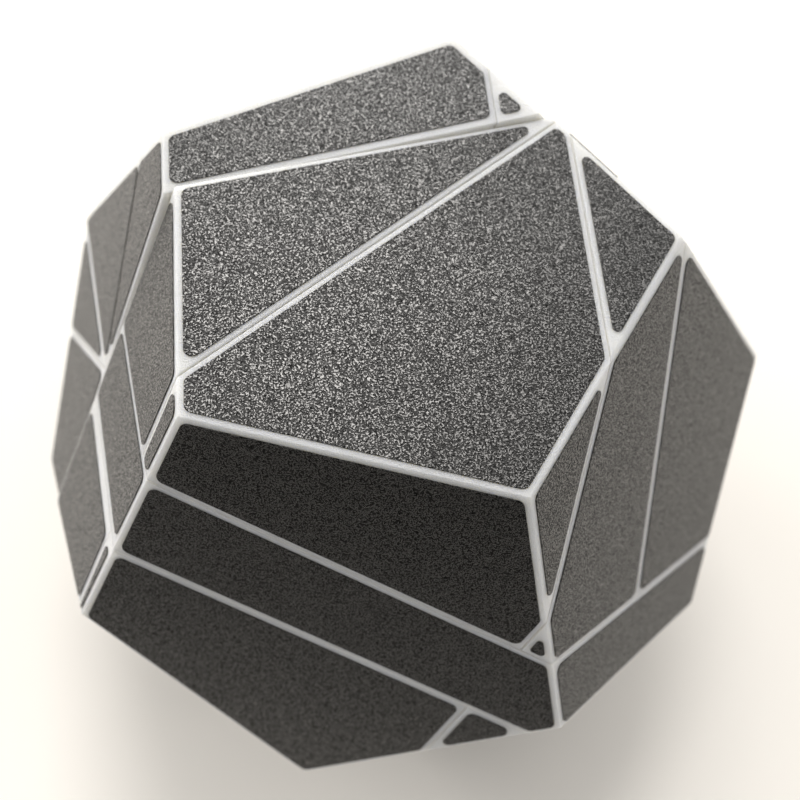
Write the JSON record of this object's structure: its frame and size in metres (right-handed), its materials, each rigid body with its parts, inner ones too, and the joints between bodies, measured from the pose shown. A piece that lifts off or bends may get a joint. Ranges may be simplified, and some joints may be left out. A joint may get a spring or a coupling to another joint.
{
  "type": "dodecahedron twisty puzzle",
  "caption": "Hand-held dodecahedron twisty puzzle: white shells with black textured stickers; two halves turn about a slash axle and carry wedge layers.",
  "frame": {"origin": "centre of the dodecahedron, where the slash axle and both layer axes meet", "axes": "+Z through the centre of the top face, +X along the top face's front edge, the front face looks towards -Y"},
  "size_m": [0.0942, 0.0984, 0.0815],
  "materials": {
    "white_nylon": "bare sintered nylon, fine sparkling grain, rounded edges",
    "vinyl_sticker": "black vinyl embossed with a fine worm-like leather grain, half matt",
    "core_plastic": "moulded black ABS, slightly greased tracks",
    "foot_plastic": "sintered nylon, polished where it runs",
    "zinc_steel": "zinc plated",
    "spring_steel": "drawn spring wire"
  },
  "bodies": {
    "front_half": {"front_equator_half": "white_nylon", "front_equator_stickers": "vinyl_sticker", "front_core_half": "core_plastic", "front_core_screws": "zinc_steel", "slash_axle_nut": "zinc_steel"},
    "slash_axle": {"slash_axle_screw": "zinc_steel", "slash_axle_spring": "spring_steel"},
    "pressure_washer": {"slash_axle_washer": "zinc_steel"},
    "back_half": {"back_equator_half": "white_nylon", "back_equator_stickers": "vinyl_sticker", "back_core_half": "core_plastic", "back_core_screws": "zinc_steel"},
    "front_upper_wedge_1": {"front_upper_wedge_1_shell": "white_nylon", "front_upper_wedge_1_foot": "foot_plastic", "front_upper_wedge_1_stickers": "vinyl_sticker"},
    "front_upper_wedge_2": {"front_upper_wedge_2_shell": "white_nylon", "front_upper_wedge_2_foot": "foot_plastic", "front_upper_wedge_2_stickers": "vinyl_sticker"},
    "front_upper_wedge_3": {"front_upper_wedge_3_shell": "white_nylon", "front_upper_wedge_3_foot": "foot_plastic", "front_upper_wedge_3_stickers": "vinyl_sticker"},
    "front_upper_wedge_4": {"front_upper_wedge_4_shell": "white_nylon", "front_upper_wedge_4_foot": "foot_plastic", "front_upper_wedge_4_stickers": "vinyl_sticker"},
    "front_lower_wedge_1": {"front_lower_wedge_1_shell": "white_nylon", "front_lower_wedge_1_foot": "foot_plastic", "front_lower_wedge_1_stickers": "vinyl_sticker"},
    "front_lower_wedge_2": {"front_lower_wedge_2_shell": "white_nylon", "front_lower_wedge_2_foot": "foot_plastic", "front_lower_wedge_2_stickers": "vinyl_sticker"},
    "front_lower_wedge_3": {"front_lower_wedge_3_shell": "white_nylon", "front_lower_wedge_3_foot": "foot_plastic", "front_lower_wedge_3_stickers": "vinyl_sticker"},
    "front_lower_wedge_4": {"front_lower_wedge_4_shell": "white_nylon", "front_lower_wedge_4_foot": "foot_plastic", "front_lower_wedge_4_stickers": "vinyl_sticker"},
    "back_right_wedge_1": {"back_right_wedge_1_shell": "white_nylon", "back_right_wedge_1_foot": "foot_plastic", "back_right_wedge_1_stickers": "vinyl_sticker"},
    "back_right_wedge_2": {"back_right_wedge_2_shell": "white_nylon", "back_right_wedge_2_foot": "foot_plastic", "back_right_wedge_2_stickers": "vinyl_sticker"},
    "back_right_wedge_3": {"back_right_wedge_3_shell": "white_nylon", "back_right_wedge_3_foot": "foot_plastic", "back_right_wedge_3_stickers": "vinyl_sticker"},
    "back_right_wedge_4": {"back_right_wedge_4_shell": "white_nylon", "back_right_wedge_4_foot": "foot_plastic", "back_right_wedge_4_stickers": "vinyl_sticker"},
    "back_left_wedge_1": {"back_left_wedge_1_shell": "white_nylon", "back_left_wedge_1_foot": "foot_plastic", "back_left_wedge_1_stickers": "vinyl_sticker"},
    "back_left_wedge_2": {"back_left_wedge_2_shell": "white_nylon", "back_left_wedge_2_foot": "foot_plastic", "back_left_wedge_2_stickers": "vinyl_sticker"},
    "back_left_wedge_3": {"back_left_wedge_3_shell": "white_nylon", "back_left_wedge_3_foot": "foot_plastic", "back_left_wedge_3_stickers": "vinyl_sticker"},
    "back_left_wedge_4": {"back_left_wedge_4_shell": "white_nylon", "back_left_wedge_4_foot": "foot_plastic", "back_left_wedge_4_stickers": "vinyl_sticker"}
  },
  "joints": [
    {"name": "axle_tension_turn", "type": "hinge", "parent": "front_half", "child": "slash_axle", "pos_m": [0, 0, 0], "axis": [-0.4424, 0.8359, -0.3249], "continuous": true},
    {"name": "halves_pull_apart", "type": "slide", "parent": "front_half", "child": "pressure_washer", "axis": [-0.4424, 0.8359, -0.3249], "range_m": [0, 0.0006], "stiffness_N_per_m": 2500, "springref_m": -0.0024, "deforming": ["slash_axle_spring"]},
    {"name": "back_half_slash_turn", "type": "hinge", "parent": "pressure_washer", "child": "back_half", "pos_m": [0, 0, 0], "axis": [-0.4424, 0.8359, -0.3249], "continuous": true},
    {"name": "layer_front_upper_turn", "type": "hinge", "parent": "front_half", "child": "front_upper_wedge_1", "pos_m": [0, 0, 0], "axis": [0.284, 0.4742, 0.8333], "range_deg": [-0.08, 0.08]},
    {"name": "wedge_front_upper_2_turn", "type": "hinge", "parent": "front_half", "child": "front_upper_wedge_2", "pos_m": [0, 0, 0], "axis": [0.284, 0.4742, 0.8333], "range_deg": [-0.08, 0.08]},
    {"name": "wedge_front_upper_3_turn", "type": "hinge", "parent": "front_half", "child": "front_upper_wedge_3", "pos_m": [0, 0, 0], "axis": [0.284, 0.4742, 0.8333], "range_deg": [-0.08, 0.08]},
    {"name": "wedge_front_upper_4_turn", "type": "hinge", "parent": "front_half", "child": "front_upper_wedge_4", "pos_m": [0, 0, 0], "axis": [0.284, 0.4742, 0.8333], "range_deg": [-0.08, 0.08]},
    {"name": "layer_front_lower_turn", "type": "hinge", "parent": "front_half", "child": "front_lower_wedge_1", "pos_m": [0, 0, 0], "axis": [0.284, 0.4742, 0.8333], "range_deg": [-0.08, 0.08]},
    {"name": "wedge_front_lower_2_turn", "type": "hinge", "parent": "front_half", "child": "front_lower_wedge_2", "pos_m": [0, 0, 0], "axis": [0.284, 0.4742, 0.8333], "range_deg": [-0.08, 0.08]},
    {"name": "wedge_front_lower_3_turn", "type": "hinge", "parent": "front_half", "child": "front_lower_wedge_3", "pos_m": [0, 0, 0], "axis": [0.284, 0.4742, 0.8333], "range_deg": [-0.08, 0.08]},
    {"name": "wedge_front_lower_4_turn", "type": "hinge", "parent": "front_half", "child": "front_lower_wedge_4", "pos_m": [0, 0, 0], "axis": [0.284, 0.4742, 0.8333], "range_deg": [-0.08, 0.08]},
    {"name": "layer_back_right_turn", "type": "hinge", "parent": "back_half", "child": "back_right_wedge_1", "pos_m": [0, 0, 0], "axis": [0.8596, 0.292, -0.4193], "range_deg": [-0.08, 0.08]},
    {"name": "wedge_back_right_2_turn", "type": "hinge", "parent": "back_half", "child": "back_right_wedge_2", "pos_m": [0, 0, 0], "axis": [0.8596, 0.292, -0.4193], "range_deg": [-0.08, 0.08]},
    {"name": "wedge_back_right_3_turn", "type": "hinge", "parent": "back_half", "child": "back_right_wedge_3", "pos_m": [0, 0, 0], "axis": [0.8596, 0.292, -0.4193], "range_deg": [-0.08, 0.08]},
    {"name": "wedge_back_right_4_turn", "type": "hinge", "parent": "back_half", "child": "back_right_wedge_4", "pos_m": [0, 0, 0], "axis": [0.8596, 0.292, -0.4193], "range_deg": [-0.08, 0.08]},
    {"name": "layer_back_left_turn", "type": "hinge", "parent": "back_half", "child": "back_left_wedge_1", "pos_m": [0, 0, 0], "axis": [0.8596, 0.292, -0.4193], "range_deg": [-0.08, 0.08]},
    {"name": "wedge_back_left_2_turn", "type": "hinge", "parent": "back_half", "child": "back_left_wedge_2", "pos_m": [0, 0, 0], "axis": [0.8596, 0.292, -0.4193], "range_deg": [-0.08, 0.08]},
    {"name": "wedge_back_left_3_turn", "type": "hinge", "parent": "back_half", "child": "back_left_wedge_3", "pos_m": [0, 0, 0], "axis": [0.8596, 0.292, -0.4193], "range_deg": [-0.08, 0.08]},
    {"name": "wedge_back_left_4_turn", "type": "hinge", "parent": "back_half", "child": "back_left_wedge_4", "pos_m": [0, 0, 0], "axis": [0.8596, 0.292, -0.4193], "range_deg": [-0.08, 0.08]}
  ],
  "couplings": [
    {"joint": "wedge_front_upper_2_turn", "follows": "layer_front_upper_turn", "ratio": 1},
    {"joint": "wedge_front_upper_3_turn", "follows": "layer_front_upper_turn", "ratio": 1},
    {"joint": "wedge_front_upper_4_turn", "follows": "layer_front_upper_turn", "ratio": 1},
    {"joint": "wedge_front_lower_2_turn", "follows": "layer_front_lower_turn", "ratio": 1},
    {"joint": "wedge_front_lower_3_turn", "follows": "layer_front_lower_turn", "ratio": 1},
    {"joint": "wedge_front_lower_4_turn", "follows": "layer_front_lower_turn", "ratio": 1},
    {"joint": "wedge_back_right_2_turn", "follows": "layer_back_right_turn", "ratio": 1},
    {"joint": "wedge_back_right_3_turn", "follows": "layer_back_right_turn", "ratio": 1},
    {"joint": "wedge_back_right_4_turn", "follows": "layer_back_right_turn", "ratio": 1},
    {"joint": "wedge_back_left_2_turn", "follows": "layer_back_left_turn", "ratio": 1},
    {"joint": "wedge_back_left_3_turn", "follows": "layer_back_left_turn", "ratio": 1},
    {"joint": "wedge_back_left_4_turn", "follows": "layer_back_left_turn", "ratio": 1}
  ]
}
